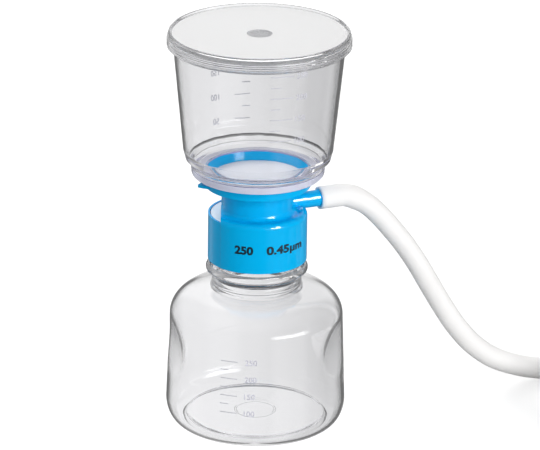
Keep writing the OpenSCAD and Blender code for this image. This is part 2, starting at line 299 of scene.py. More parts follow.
# %% Make the silicone of the hose
def silicone_for_hose():
    """Milky silicone rubber with the fine lines of its die."""
    material, tree = new_material("extruded_silicone")
    uv = add(tree, "ShaderNodeUVMap", uv_map="along")
    # die lines every 0.5 mm round the tube, stretched to 60 mm along it
    lines = add(tree, "ShaderNodeMapping", {"Vector": uv.outputs["UV"], "Scale": (2000, 16, 1)})
    die = add(
        tree, "ShaderNodeTexNoise", {"Vector": lines.outputs["Vector"], "Scale": 1.0, "Detail": 2.0}
    )
    place = add(tree, "ShaderNodeTexCoord")
    # clouding about 12 mm across
    cloud = add(
        tree, "ShaderNodeTexNoise", {"Vector": place.outputs["Object"], "Scale": 80.0, "Detail": 2.0}
    )
    tone = add(
        tree,
        "ShaderNodeMix",
        {"Factor": cloud.outputs["Fac"], "A": linear("#F0EFEE"), "B": linear("#F7F6F5")},
        data_type="RGBA",
    )
    matt = add(
        tree,
        "ShaderNodeMapRange",
        {"Value": cloud.outputs["Fac"], "To Min": 0.42, "To Max": 0.52},
    )
    relief = add(
        tree, "ShaderNodeBump", {"Height": die.outputs["Fac"], "Strength": 0.25, "Distance": 0.05 * MM}
    )
    rubber = add(
        tree,
        "ShaderNodeBsdfPrincipled",
        {
            "Base Color": tone.outputs["Result"],
            "Roughness": matt.outputs["Result"],
            "Normal": relief.outputs["Normal"],
            "IOR": 1.41,
            "Subsurface Weight": 0.15,
            "Subsurface Radius": (1.2, 1.2, 1.2),
            "Subsurface Scale": 1 * MM,
        },
    )
    add(tree, "ShaderNodeOutputMaterial", {"Surface": rubber.outputs["BSDF"]})
    return material


show(hose, silicone_for_hose())
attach(hose, "head")
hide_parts("hose_run", "hose_coil")
print("hose rides on the head")

# %% [markdown]
# ## Turned walls
#
# The bottle, the funnel and the lid are round, and what makes clear plastic look real is a
# true wall with small rounded edges, because every edge bends light into a bright or a dark
# line. Each is therefore turned afresh from its half section: a list of corners, each with
# its radius of rounding. The rounding adds a point close to each end of an arc, so that flat
# stretches stay flat when they are shaded smooth.

# %% Round a section and turn it
def rounded(corners, steps=5):
    """Points, in millimetres, along corners given as (radius, height, rounding)."""
    line = []
    for i, (x, z, radius) in enumerate(corners):
        here = np.array((x, z), float)
        if radius == 0 or i in (0, len(corners) - 1):
            line.append(here)
            continue
        before, after = np.array(corners[i - 1][:2], float), np.array(corners[i + 1][:2], float)
        back, on = before - here, after - here
        # two roundings can share an edge, so each takes less than half of it
        reach = 0.45 * min(np.linalg.norm(back), np.linalg.norm(on))
        back, on = back / np.linalg.norm(back), on / np.linalg.norm(on)
        half = math.acos(max(-1, min(1, back @ on))) / 2
        run = min(radius / math.tan(half), reach)
        first, last = here + back * run, here + on * run
        line.append(here + back * run * 1.25)
        for t in np.linspace(0, 1, steps + 1):
            line.append((1 - t) ** 2 * first + 2 * t * (1 - t) * here + t**2 * last)
        line.append(here + on * run * 1.25)
    return line


def arc(x, z, rx, rz, start, stop, steps, power=2.0):
    """Corners along an ellipse, or along a squarer curve where power is above 2."""
    found = []
    for angle in np.radians(np.linspace(start, stop, steps + 1)):
        c, s = math.cos(angle), math.sin(angle)
        across, up = (math.copysign(abs(part) ** (2 / power), part) for part in (c, s))
        found.append((x + rx * across, z + rz * up, 0))
    return found


def turned(name, line, sides=256):
    """Turns a line of (radius, height) points, in millimetres. Its two ends are on the axis,
    or it is a loop whose first point is its last."""
    loop = np.allclose(line[0], line[-1])
    rows = line[:-1] if loop else line
    angles = np.arange(sides) * 2 * math.pi / sides
    points, starts = [], []
    for x, z in rows:
        on_axis = x < 1e-6
        starts.append((len(points), on_axis))
        if on_axis:
            points.append((0, 0, z * MM))
        else:
            points += [(x * math.cos(a) * MM, x * math.sin(a) * MM, z * MM) for a in angles]
    faces = []
    following = starts[1:] + (starts[:1] if loop else [])
    for (low, low_pole), (high, high_pole) in zip(starts, following):
        for k in range(sides):
            n = (k + 1) % sides
            if low_pole:
                faces.append((low, high + n, high + k))
            elif high_pole:
                faces.append((low + k, low + n, high))
            else:
                faces.append((low + k, low + n, high + n, high + k))
    return new_piece(name, points, faces)


def report(piece):
    """Prints the size of a piece in millimetres, and its number of faces."""
    size = np.array([v.co for v in piece.data.vertices]).ptp(0) / MM
    spans = [round(float(span), 1) for span in size]
    print(piece.name, "is", spans, "mm, with", len(piece.data.polygons), "faces")


# %% [markdown]
# ## The bottle
#
# The bottle is blow moulded, so its wall has one thickness and every corner is round. Two
# low rings run round the foot of the neck, and the neck widens in a cone under the support
# bead. It is turned first. Two grips are then pressed into its outer and its inner skin alike:
# each is a scoop out of a wide circle, deepest at its middle. Taking the smaller of two
# distances, with a little rounding between them, presses a scoop into a round wall without
# any cutting. The screw thread is raised in the same way: a point of the neck moves outwards
# by how near it is to the crest of a right-handed helix.

# %% Turn the bottle and press its grips
wall = 1.6
body_top_r, neck_r, neck_in = 43.6, 21.9, 19.7
body_low_z, turn_z, bead_z = 12.0, 56.0, 80.0


def bottle_skin(inset, neck):
    """Half section of one skin of the body, from the middle of the foot up to the neck."""
    foot_r = 37.5
    # a ring 20 mm across stands up in the middle, on the outer skin only
    ring = [] if inset else [(9.4, 3.1, 0.1), (9.7, 2.8, 0.1), (10.3, 2.8, 0.1), (10.6, 3.1, 0.1)]
    under = [(0, 3.1 + inset, 0), *ring, (34.4, 2.3 + inset, 2.0), (36.4, inset, 1.2)]
    corner = arc(foot_r, body_low_z, body_r - foot_r - inset, body_low_z - inset, -90, 0, 24)
    rise = [
        (body_r - inset + (body_top_r - body_r) * (z - body_low_z) / (turn_z - body_low_z), z, 0)
        for z in np.arange(body_low_z + 1, turn_z, 0.7)
    ]
    shoulder = arc(neck, turn_z, body_top_r - inset - neck, 15.8 - inset, 0, 90, 36, 2.15)
    return under + corner + rise + shoulder[:-1] + [(neck, shoulder[-1][1], 0.9)]


lip = 0.5
thread_low, thread_high, pitch = 88.4, 106.4, 4.0
# the two rings at the foot of the neck, and the start of the cone under the bead
root_z, ring_z, cone_z = 72.2, 75.0, 77.3
outer_line = bottle_skin(0, neck_r) + [
    *arc(neck_r + 0.2, root_z, 1.2, 1.0, -60, 80, 8),
    *arc(neck_r, ring_z, 0.7, 0.8, -70, 70, 8),
    (neck_r, cone_z, 0.3),
    (neck_r + 2.1, bead_z - 0.2, 0.3),
    *arc(neck_r + 1.7, bead_z + 2, 2, 2, -50, 90, 14),
    (neck_r, bead_z + 4, 0.3),
    *[(neck_r, z, 0) for z in np.arange(thread_low - 1.4, thread_high + 1.4, 0.28)],
    (neck_r, mouth_z, lip),
    (neck_in, mouth_z, lip),
]
inner_line = bottle_skin(wall, neck_in)[::-1]
bottle = turned("bottle_skin", rounded(outer_line + inner_line), sides=204)


def raise_thread(piece, height=1.25, crest=0.35, flank=0.75, fade_over=1.5):
    """Moves the points of the neck outwards along the thread, which fades out at its ends."""
    place = np.array([v.co for v in piece.data.vertices]) / MM
    radius, angle = np.hypot(place[:, 0], place[:, 1]), np.arctan2(place[:, 1], place[:, 0])
    phase = (place[:, 2] - thread_low) / pitch - angle / (2 * math.pi)
    off = (phase - np.round(phase)) * pitch
    line_z = place[:, 2] - off
    run_in = np.clip((line_z - thread_low) / fade_over, 0, 1)
    run_out = np.clip((thread_high - line_z) / fade_over, 0, 1)
    bump = height * run_in * run_out * np.clip((crest + flank - np.abs(off)) / flank, 0, 1)
    radius = radius + np.where(np.abs(radius - neck_r) < 0.02, bump, 0)
    place[:, 0], place[:, 1] = radius * np.cos(angle), radius * np.sin(angle)
    piece.data.vertices.foreach_set("co", (place * MM).astype(np.float32).ravel())
    piece.data.update()


def press_grips(piece, grip_turns=(-19.5, 194.5), depth=2.4, tall=28.0, middle_z=44.0, blend=0.3):
    """Presses the grips into every point that lies outside them."""
    far = 1e3
    place = np.array([v.co for v in piece.data.vertices]) / MM
    radius, angle = np.hypot(place[:, 0], place[:, 1]), np.arctan2(place[:, 1], place[:, 0])
    side_line = [(z, x) for x, z, *_ in bottle_skin(0, neck_r) if z >= body_low_z]
    skin = np.interp(place[:, 2], *np.array(side_line).T)
    inset = np.where(radius < skin - wall / 2, wall, 0.0)
    scoop_r = (tall**2 / 4 + depth**2) / (2 * depth)
    deepest = body_r - (body_r - body_top_r) * middle_z / turn_z - depth
    rise = place[:, 2] - middle_z
    flat = deepest + scoop_r - np.sqrt(np.maximum((scoop_r + inset) ** 2 - rise**2, 0))
    flat[np.abs(rise) > scoop_r / 2] = far
    for turn in grip_turns:
        across = np.cos(angle - math.radians(turn))
        reach = np.where(across > 0.5, flat / np.maximum(across, 0.5), far)
        # the clip only keeps the exponential from overflowing
        gap = np.clip((reach - radius) / blend, -30, 30)
        pressed = radius - blend * np.log1p(np.exp(-gap))
        # the foot and the neck, further in, stay as they are
        near = (np.abs(reach - radius) < 8) & (radius > 30)
        radius = np.where(near, pressed, radius)
    place[:, 0], place[:, 1] = radius * np.cos(angle), radius * np.sin(angle)
    piece.data.vertices.foreach_set("co", (place * MM).astype(np.float32).ravel())
    piece.data.update()


raise_thread(bottle)
press_grips(bottle)
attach(bottle, "bottle")
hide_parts("bottle")
report(bottle)

# %% [markdown]
# ## The funnel
#
# The funnel is injection moulded. Its foot is a socket that drops over the blue dish and is
# welded there. Above a waist its wall steps out over a crisp crease, widens once more and
# then runs straight up to a thick brim, which carries the lid.

# %% Turn the funnel
socket_r, ledge_r = 26.55, 25.4
crease_r, crease_z = 35.7, rim_z + 6.1
wall_low_r, wall_low_z = 37.4, 144.7
wall_high_r, wall_high_z = 42.6, brim_z - 5.2
funnel_line = [
    (socket_r, foot_z, 0.2), *arc(31.6, foot_z + 1.8, 1.6, 1.8, -90, 0, 8),
    (33.5, rim_z + 2.5, 0.3), (crease_r - 1.1, crease_z - 1.0, 0.15), (crease_r + 0.5, crease_z, 0.1),
    (wall_low_r, wall_low_z, 1.5), (wall_high_r, wall_high_z, 0.8), (brim_r, brim_z - 4, 0.5),
    (brim_r, brim_z, 0.5), (41.1, brim_z, 0.5), (35.7, wall_low_z, 1.5), (33.9, rim_z + 6.4, 0.3),
    *arc(32.35, rim_z + 3.8, 0.3, 0.35, 120, 240, 6), (30.0, rim_z + 1.05, 0.4),
    (ledge_r, rim_z + 0.95, 0.2), (ledge_r, rim_z + 0.05, 0.2), (socket_r, rim_z + 0.05, 0.1),
]
# the loop starts half way up the socket, so that every corner is rounded
half_way = (socket_r, (foot_z + rim_z) / 2, 0)
funnel = turned("funnel_skin", rounded([half_way, *funnel_line, half_way]))
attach(funnel, "head")
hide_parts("funnel")
report(funnel)

# %% [markdown]
# ## The lid
#
# The lid is a thin disc with a raised rim that lets lids stack, and a skirt that hangs over
# the brim, with three low ribs round it. The round mark in the middle is where the plastic
# entered the mould. The outline runs out under the disc, down the skirt's inside, up over
# the ribs and the raised rim, and back over the disc to the mark.

# %% Turn the lid
# the lid rests on the brim with this much air between them
seat = 0.05
disc_z = brim_z + seat
skirt_z, mark_z, flat_z, top_z = disc_z - 4.9, disc_z + 0.7, disc_z + 1.4, disc_z + 2.9
skirt_r, rib_r = 45.15, 45.8
lid_line = [
    (0, disc_z, 0), (44.0, disc_z, 0.2), (44.4, disc_z - 0.4, 0.2),
    (44.4, skirt_z, 0.2), (44.95, skirt_z, 0.1), (rib_r, disc_z - 4.2, 0.15),
    (rib_r, disc_z - 3.65, 0.1), (skirt_r, disc_z - 3.55, 0.1), (skirt_r, disc_z - 3.25, 0.1),
    (rib_r, disc_z - 2.65, 0.15), (rib_r, disc_z - 2.0, 0.1), (skirt_r, disc_z - 1.9, 0.1),
    (skirt_r, disc_z - 1.3, 0.1), (rib_r, disc_z - 0.7, 0.15), (rib_r - 0.1, disc_z - 0.1, 0.1),
    (skirt_r, disc_z, 0.1), (skirt_r, disc_z + 1.1, 0.1),
    (44.9, disc_z + 1.2, 0.1), (44.9, top_z - 0.5, 0.25), (44.5, top_z, 0.2), (43.8, top_z, 0.2),
    (43.3, flat_z, 0.2), (6.3, flat_z, 0.1), (5.9, mark_z, 0.1), (0, mark_z, 0),
]
lid = turned("lid_skin", rounded(lid_line))
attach(lid, "lid")
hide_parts("lid")
report(lid)

# %% [markdown]
# ## Finish: clear moulded polystyrene
#
# General-purpose polystyrene is as clear as glass and bends light a little more, with an
# index of 1.59. It is set a little lower here, at 1.53, to match the looks of the real
# pieces. What the eye sees of it are its edges, its mirrored lamps and a faint grey
# that deepens where light runs along the wall, which the absorption inside it gives. Moulding
# leaves the skin very slightly wavy. Light from the lamps is let straight through for
# shadows, since the bent light of a lamp would need thousands of samples.

# %% Make the clear plastic
def clear_plastic(name, tint, depth, waves=9.0, waviness=0.05, rough=0.03):
    """tint is the colour of the plastic, depth its absorption per metre, and waves the length
    of its flow waves in millimetres."""
    material, tree = new_material(name)
    place = add(tree, "ShaderNodeTexCoord")
    # flow waves from moulding, some hundredths of a millimetre high
    flow = add(
        tree,
        "ShaderNodeTexNoise",
        {"Vector": place.outputs["Object"], "Scale": 1000 / waves, "Detail": 1.0},
    )
    relief = add(
        tree,
        "ShaderNodeBump",
        {"Height": flow.outputs["Fac"], "Strength": waviness, "Distance": 1 * MM},
    )
    skin = add(
        tree,
        "ShaderNodeBsdfPrincipled",
        {
            "Base Color": linear("#FCFCFD"),
            "Roughness": rough,
            "IOR": 1.53,
            "Transmission Weight": 1.0,
            "Normal": relief.outputs["Normal"],
        },
    )
    straight = add(tree, "ShaderNodeBsdfTransparent", {"Color": linear("#FAFAFB")})
    ray = add(tree, "ShaderNodeLightPath")
    choice = add(
        tree,
        "ShaderNodeMixShader",
        {0: ray.outputs["Is Shadow Ray"], 1: skin.outputs["BSDF"], 2: straight.outputs["BSDF"]},
    )
    inside = add(tree, "ShaderNodeVolumeAbsorption", {"Color": linear(tint), "Density": depth})
    add(
        tree,
        "ShaderNodeOutputMaterial",
        {"Surface": choice.outputs["Shader"], "Volume": inside.outputs["Volume"]},
    )
    return material


def dress(node, material):
    """Gives a node of the model its finish."""
    nodes[node].data.materials.clear()
    nodes[node].data.materials.append(material)


bottle_plastic = clear_plastic(
    "clear_polystyrene_bottle", "#8A8C90", depth=4.0, waves=16.0, waviness=0.1
)
funnel_plastic = clear_plastic("clear_polystyrene_funnel", "#86868E", depth=22.0)
lid_plastic = clear_plastic("clear_polystyrene_lid", "#8E8E94", depth=4.0, waviness=0.02)
show(bottle, bottle_plastic)
show(funnel, funnel_plastic)
show(lid, lid_plastic)
print("clear finishes:", bottle_plastic.name, funnel_plastic.name, lid_plastic.name)

# %% [markdown]
# Some places of the clear pieces aren't polished. The flat of the lid was moulded against
# coarse-sanded steel, so it scatters most of the light and looks white, and the mark in its
# middle was only broken off, so it is a darker matt. The socket of the funnel was melted
# onto the dish, which left a milky skin on its inner wall and on its bottom. The faint
# lavender tint of that skin is painted refraction of the blue dish behind it.

# %% Give the sanded flat and the gate mark their own finish
def second_finish(piece, material, chosen):
    """Gives a piece's faces another finish where a test on (radius, height) in mm is true."""
    piece.data.materials.append(material)
    count = 0
    for face in piece.data.polygons:
        x, y, z = np.array(face.center) / MM
        if chosen(math.hypot(x, y), z):
            face.material_index = len(piece.data.materials) - 1
            count += 1
    print(piece.name, "has", count, "faces of", material.name)


def sanded_plastic(name, low, high, share, glow):
    """Polystyrene that lets a share of the light through, and scatters the rest: a part of
    it, glow, on into the plastic, and what is left back out."""
    material, tree = new_material(name)
    place = add(tree, "ShaderNodeTexCoord")
    # the pits of the grit are drawn 0.8 mm across, coarser than they are, so that they show
    grit = add(
        tree, "ShaderNodeTexNoise", {"Vector": place.outputs["Object"], "Scale": 1250.0, "Detail": 2.0}
    )
    tone = add(
        tree,
        "ShaderNodeMix",
        {"Factor": grit.outputs["Fac"], "A": linear(low), "B": linear(high)},
        data_type="RGBA",
    )
    relief = add(
        tree, "ShaderNodeBump", {"Height": grit.outputs["Fac"], "Strength": 0.15, "Distance": 0.05 * MM}
    )
    skin = add(
        tree,
        "ShaderNodeBsdfPrincipled",
        {
            "Base Color": tone.outputs["Result"],
            "Roughness": 0.5,
            "Normal": relief.outputs["Normal"],
            "IOR": 1.53,
            "Transmission Weight": share,
        },
    )
    soaked = add(
        tree,
        "ShaderNodeBsdfTranslucent",
        {"Color": tone.outputs["Result"], "Normal": relief.outputs["Normal"]},
    )
    scattered = add(
        tree, "ShaderNodeMixShader", {0: glow, 1: skin.outputs["BSDF"], 2: soaked.outputs["BSDF"]}
    )
    straight = add(tree, "ShaderNodeBsdfTransparent", {"Color": linear("#FAFAFB")})
    ray = add(tree, "ShaderNodeLightPath")
    choice = add(
        tree,
        "ShaderNodeMixShader",
        {0: ray.outputs["Is Shadow Ray"], 1: scattered.outputs["Shader"], 2: straight.outputs["BSDF"]},
    )
    add(tree, "ShaderNodeOutputMaterial", {"Surface": choice.outputs["Shader"]})
    return material


mark_r, flat_r = 6.35, 43.2
flat = sanded_plastic("sanded_polystyrene", "#F9F9F9", "#FEFEFE", share=0.05, glow=0.12)
second_finish(lid, flat, lambda r, z: z > flat_z - 0.1 and mark_r < r < flat_r)
mark = sanded_plastic("broken_off_polystyrene", "#A4A4A6", "#EEEEF0", share=0.5, glow=0.1)
second_finish(lid, mark, lambda r, z: z > mark_z - 0.1 and r < mark_r)

# %% [markdown]
# ## Finish: blue moulded ABS
#
# The base is ABS, moulded against polished steel and coloured right through. It is glossy,
# with a very fine orange-peel skin that breaks up the edges of its reflections.

# %% Make the blue plastic
def blue_plastic():
    """Glossy blue ABS with an orange-peel skin."""
    material, tree = new_material("moulded_abs_blue")
    place = add(tree, "ShaderNodeTexCoord")
    # orange peel about 2.5 mm across
    peel = add(
        tree, "ShaderNodeTexNoise", {"Vector": place.outputs["Object"], "Scale": 400.0, "Detail": 2.0}
    )
    # slow change of colour over about 25 mm, from the flow of the melt
    melt = add(
        tree, "ShaderNodeTexNoise", {"Vector": place.outputs["Object"], "Scale": 40.0, "Detail": 1.0}
    )
    tone = add(
        tree,
        "ShaderNodeMix",
        {"Factor": melt.outputs["Fac"], "A": linear("#00AAE6"), "B": linear("#00B2ED")},
        data_type="RGBA",
    )
    gloss = add(
        tree,
        "ShaderNodeMapRange",
        {"Value": peel.outputs["Fac"], "To Min": 0.07, "To Max": 0.11},
    )
    # every edge of the moulding is rounded by about 0.3 mm
    edge = add(tree, "ShaderNodeBevel", {"Radius": 0.3 * MM}, samples=6)
    relief = add(
        tree,
        "ShaderNodeBump",
        {
            "Height": peel.outputs["Fac"],
            "Strength": 0.06,
            "Distance": 0.2 * MM,
            "Normal": edge.outputs["Normal"],
        },
    )
    plastic = add(
        tree,
        "ShaderNodeBsdfPrincipled",
        {
            "Base Color": tone.outputs["Result"],
            "Roughness": gloss.outputs["Result"],
            "Normal": relief.outputs["Normal"],
            "IOR": 1.54,
            "Specular IOR Level": 0.15,
        },
    )
    add(tree, "ShaderNodeOutputMaterial", {"Surface": plastic.outputs["BSDF"]})
    return material


abs_plastic = blue_plastic()
dress("filter_base", abs_plastic)
print("filter_base is", abs_plastic.name)

# %% [markdown]
# ## Finish: membrane and gasket
#
# The membrane is a cast polymer film, white and matt like paper, with pores far too small to
# see. A faint mottle stands in for them. The gasket is moulded silicone, whiter and smoother
# than the hose. The support disc is natural polypropylene, which is milky and a little waxy.

# %% Make the membrane and the gasket
def mottled(name, low, high, size, rough, relief):
    """A matt finish that mottles between two colours, with a mottle of that size in
    millimetres and a relief of that share of 0.05 mm."""
    material, tree = new_material(name)
    place = add(tree, "ShaderNodeTexCoord")
    mottle = add(
        tree,
        "ShaderNodeTexNoise",
        {"Vector": place.outputs["Object"], "Scale": 1000 / size, "Detail": 3.0},
    )
    tone = add(
        tree,
        "ShaderNodeMix",
        {"Factor": mottle.outputs["Fac"], "A": linear(low), "B": linear(high)},
        data_type="RGBA",
    )
    bumps = add(
        tree,
        "ShaderNodeBump",
        {"Height": mottle.outputs["Fac"], "Strength": relief, "Distance": 0.05 * MM},
    )
    surface = add(
        tree,
        "ShaderNodeBsdfPrincipled",
        {
            "Base Color": tone.outputs["Result"],
            "Roughness": rough,
            "Normal": bumps.outputs["Normal"],
            "IOR": 1.45,
        },
    )
    add(tree, "ShaderNodeOutputMaterial", {"Surface": surface.outputs["BSDF"]})
    return material


film = mottled("cast_membrane", "#E1E3E9", "#E9EBEF", size=0.8, rough=0.75, relief=0.4)
seal = mottled("moulded_silicone", "#FAFAFA", "#FFFFFF", size=3.0, rough=0.4, relief=0.1)
carrier = mottled("natural_polypropylene", "#E6E8E8", "#F0F1F1", size=2.0, rough=0.35, relief=0.1)
dress("membrane", film)
dress("mouth_gasket", seal)
dress("support_disc", carrier)
print("membrane is", film.name, "- gasket is", seal.name, "- support disc is", carrier.name)

# %% [markdown]
# The weld between funnel and dish takes the same recipe. Its milky skin is pale, with a
# lavender tint that is painted refraction of the blue dish. It ends in a bead of melted
# plastic, above on the ledge and below at the foot. The bead's dark violet is painted shade,
# and painted blue of the dish seen through it.

# %% Make the weld
def on_weld(r, z):
    """True on the socket's wall and on the bottom of the foot."""
    return (socket_r - 0.1 < r < socket_r + 0.15 and z < rim_z) or z < foot_z + 0.02


def on_painted_shade_bead(r, z):
    """True on the corner between those two, and on the inner edge of the ledge, where the bead carries
    painted shade.
    """
    at_foot = socket_r - 0.25 < r < socket_r + 0.35 and z < foot_z + 0.25
    return at_foot or (r < ledge_r + 0.1 and z < rim_z + 0.8)


# the skin's pale milk is its own, and its lavender tint is painted refraction of the blue dish behind it
weld = mottled("weld_skin_painted_refraction", "#DCDEEC", "#E4E6F2", size=1.2, rough=0.5, relief=0.2)
second_finish(funnel, weld, on_weld)
# the bead's dark violet is painted shade in the corners between funnel and dish, with painted blue of the
# dish seen through it
bead = mottled("weld_bead_painted_shade", "#8583AE", "#9C9AC2", size=1.2, rough=0.4, relief=0.2)
second_finish(funnel, bead, on_painted_shade_bead)

# %% [markdown]
# ## Finish: woven strap
#
# A strap holds the coil together. It is woven of dark nylon, in a plain weave: two sets of
# threads, 0.4 mm apart, cross each other, and a wave across and a wave along, multiplied,
# give the bumps where one passes over the other.

# %% Make the strap
def woven_nylon():
    """Dark nylon cloth in a plain weave."""
    material, tree = new_material("woven_nylon")
    place = add(tree, "ShaderNodeTexCoord")
    # one wave is 0.8 mm, which is two threads
    waves = [2 * math.pi / (0.8 * MM)] * 3
    spread = add(tree, "ShaderNodeVectorMath", {0: place.outputs["Object"], 1: waves}, operation="MULTIPLY")
    part = add(tree, "ShaderNodeSeparateXYZ", {"Vector": spread.outputs["Vector"]})
    across = add(tree, "ShaderNodeMath", {0: part.outputs["Z"]}, operation="SINE")
    level = add(tree, "ShaderNodeMath", {0: part.outputs["X"], 1: part.outputs["Y"]})
    along = add(tree, "ShaderNodeMath", {0: level.outputs["Value"]}, operation="SINE")
    weave = add(
        tree,
        "ShaderNodeMath",
        {0: across.outputs["Value"], 1: along.outputs["Value"]},
        operation="MULTIPLY",
    )
    share = add(tree, "ShaderNodeMapRange", {"Value": weave.outputs["Value"], "From Min": -1})
    tone = add(
        tree,
        "ShaderNodeMix",
        {"Factor": share.outputs["Result"], "A": linear("#24272C"), "B": linear("#3A3E45")},
        data_type="RGBA",
    )
    relief = add(
        tree, "ShaderNodeBump", {"Height": share.outputs["Result"], "Strength": 0.6, "Distance": 0.15 * MM}
    )
    cloth = add(
        tree,
        "ShaderNodeBsdfPrincipled",
        {"Base Color": tone.outputs["Result"], "Roughness": 0.7, "Normal": relief.outputs["Normal"]},
    )
    add(tree, "ShaderNodeOutputMaterial", {"Surface": cloth.outputs["BSDF"]})
    return material


strap_cloth = woven_nylon()
dress("hose_tie", strap_cloth)
print("hose_tie is", strap_cloth.name)

# %% [markdown]
# ## The thread inside the collar
#
# The collar carries the same helix as the neck, half a pitch higher, so that its ridge runs
# in the groove between two turns of the neck's. One section is carried round, and it shrinks
# into the wall at both ends.

# %% Add the collar's thread
def collar_thread(turns=2.6, step=6, root_r=23.85, height=1.25, root_half=0.95, tip_half=0.3, fade_over=40):
    """A ridge round the collar's bore. Its two ends shrink into the wall over some degrees."""
    points = []
    angles = np.arange(0, 360 * turns + 1, step)
    for degrees in angles:
        a = math.radians(degrees)
        z = thread_low + pitch / 2 + pitch * degrees / 360
        fade = min(1, degrees / fade_over, (angles[-1] - degrees) / fade_over)
        tip_r = root_r - 0.05 - height * fade
        for r, up in ((root_r, -root_half), (root_r, root_half), (tip_r, tip_half), (tip_r, -tip_half)):
            points.append((r * math.cos(a) * MM, r * math.sin(a) * MM, (z + up) * MM))
    faces = [(3, 2, 1, 0), tuple(range(len(points) - 4, len(points)))]
    for i in range(0, len(points) - 4, 4):
        for k in range(4):
            n = (k + 1) % 4
            faces.append((i + k, i + n, i + n + 4, i + k + 4))
    return new_piece("collar_thread", points, faces, smooth=False)


ridge = collar_thread()
show(ridge, abs_plastic)
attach(ridge, "head")
report(ridge)

# %% [markdown]
# ## Raised scales
#
# The funnel and the bottle carry moulded scales: a long line at every 50 ml and a short one
# half way between. What repeats is a bar that follows the wall, so Geometry Nodes bends a
# long bar and a short one round a circle, sets them by turns on a row of points up the axis,
# and lets each instance grow or shrink with the radius of the wall at its height.

# %% Build the tree of the scales
def scale_tree():
    """Lines of two lengths that stand one above another on a cone round the upright axis."""
    tree = bpy.data.node_groups.new("scale_lines", "GeometryNodeTree")
    tree.interface.new_socket("Geometry", in_out="OUTPUT", socket_type="NodeSocketGeometry")
    for name in ("Lowest", "Step", "Radius", "Slope", "Turn", "Long", "Short", "Thickness"):
        tree.interface.new_socket(name, in_out="INPUT", socket_type="NodeSocketFloat")
    tree.interface.new_socket("Lines", in_out="INPUT", socket_type="NodeSocketInt")
    tree.interface.new_socket("Finish", in_out="INPUT", socket_type="NodeSocketMaterial")
    given = add(tree, "NodeGroupInput").outputs

    def bar(length):
        """A strip of that angle on a circle of radius 1, upright."""
        flat = add(
            tree,
            "GeometryNodeMeshGrid",
            {"Size X": 1.0, "Size Y": given["Thickness"], "Vertices X": 9, "Vertices Y": 2},
        )
        here = add(tree, "GeometryNodeInputPosition")
        part = add(tree, "ShaderNodeSeparateXYZ", {"Vector": here.outputs["Position"]})
        along = add(tree, "ShaderNodeMath", {0: part.outputs["X"], 1: 0.5}, operation="ADD")
        angle = add(
            tree,
            "ShaderNodeMath",
            {0: along.outputs["Value"], 1: length, 2: given["Turn"]},
            operation="MULTIPLY_ADD",
        )
        cosine = add(tree, "ShaderNodeMath", {0: angle.outputs["Value"]}, operation="COSINE")
        sine = add(tree, "ShaderNodeMath", {0: angle.outputs["Value"]}, operation="SINE")
        bent = add(
            tree,
            "ShaderNodeCombineXYZ",
            {"X": cosine.outputs["Value"], "Y": sine.outputs["Value"], "Z": part.outputs["Y"]},
        )
        strip = add(
            tree,
            "GeometryNodeSetPosition",
            {"Geometry": flat.outputs["Mesh"], "Position": bent.outputs["Vector"]},
        )
        return strip.outputs["Geometry"]

    start = add(tree, "ShaderNodeCombineXYZ", {"Z": given["Lowest"]})
    offset = add(tree, "ShaderNodeCombineXYZ", {"Z": given["Step"]})
    row = add(
        tree,
        "GeometryNodeMeshLine",
        {
            "Count": given["Lines"],
            "Start Location": start.outputs["Vector"],
            "Offset": offset.outputs["Vector"],
        },
    )
    number = add(tree, "GeometryNodeInputIndex").outputs["Index"]
    height = add(tree, "ShaderNodeMath", {0: number, 1: given["Step"]}, operation="MULTIPLY")
    radius = add(
        tree,
        "ShaderNodeMath",
        {0: height.outputs["Value"], 1: given["Slope"], 2: given["Radius"]},
        operation="MULTIPLY_ADD",
    ).outputs["Value"]
    grown = add(tree, "ShaderNodeCombineXYZ", {"X": radius, "Y": radius, "Z": 1.0})
    parity = add(tree, "ShaderNodeMath", {0: number, 1: 2.0}, operation="MODULO")
    every = add(tree, "GeometryNodeJoinGeometry")
    for length, odd in ((given["Long"], 0.0), (given["Short"], 1.0)):
        wanted = add(
            tree, "ShaderNodeMath", {0: parity.outputs["Value"], 1: odd, 2: 0.1}, operation="COMPARE"
        )
        bars = add(
            tree,
            "GeometryNodeInstanceOnPoints",
            {
                "Points": row.outputs["Mesh"],
                "Selection": wanted.outputs["Value"],
                "Instance": bar(length),
                "Scale": grown.outputs["Vector"],
            },
        )
        tree.links.new(bars.outputs["Instances"], every.inputs["Geometry"])
    real = add(tree, "GeometryNodeRealizeInstances", {"Geometry": every.outputs["Geometry"]})
    finished = add(
        tree,
        "GeometryNodeSetMaterial",
        {"Geometry": real.outputs["Geometry"], "Material": given["Finish"]},
    )
    add(tree, "NodeGroupOutput", {"Geometry": finished.outputs["Geometry"]})
    return tree


def grown_piece(name, tree, **values):
    """The plain mesh that a tree makes of its named inputs, as a new object."""
    seed = new_piece(name + "_seed", [], [])
    modifier = seed.modifiers.new("grow", "NODES")
    modifier.node_group = tree
    for item in tree.interface.items_tree:
        if item.in_out == "INPUT":
            modifier[item.identifier] = values[item.name]
    depsgraph = bpy.context.evaluated_depsgraph_get()
    mesh = bpy.data.meshes.new_from_object(seed.evaluated_get(depsgraph))
    bpy.data.objects.remove(seed)
    piece = bpy.data.objects.new(name, mesh)
    bpy.context.scene.collection.objects.link(piece)
    return piece


raised = mottled("raised_scale", "#B8B8C2", "#C4C4CE", size=1.0, rough=0.4, relief=0.1)
lines = scale_tree()
# the lines and figures stand this far off the wall, in millimetres
proud = 0.04
print("tree of the scales has", len(lines.nodes), "nodes")

# %% [markdown]
# The figures beside the lines are plain text, made mesh and cut into narrow strips, so that
# the strips can follow the wall. Every long line has a figure.

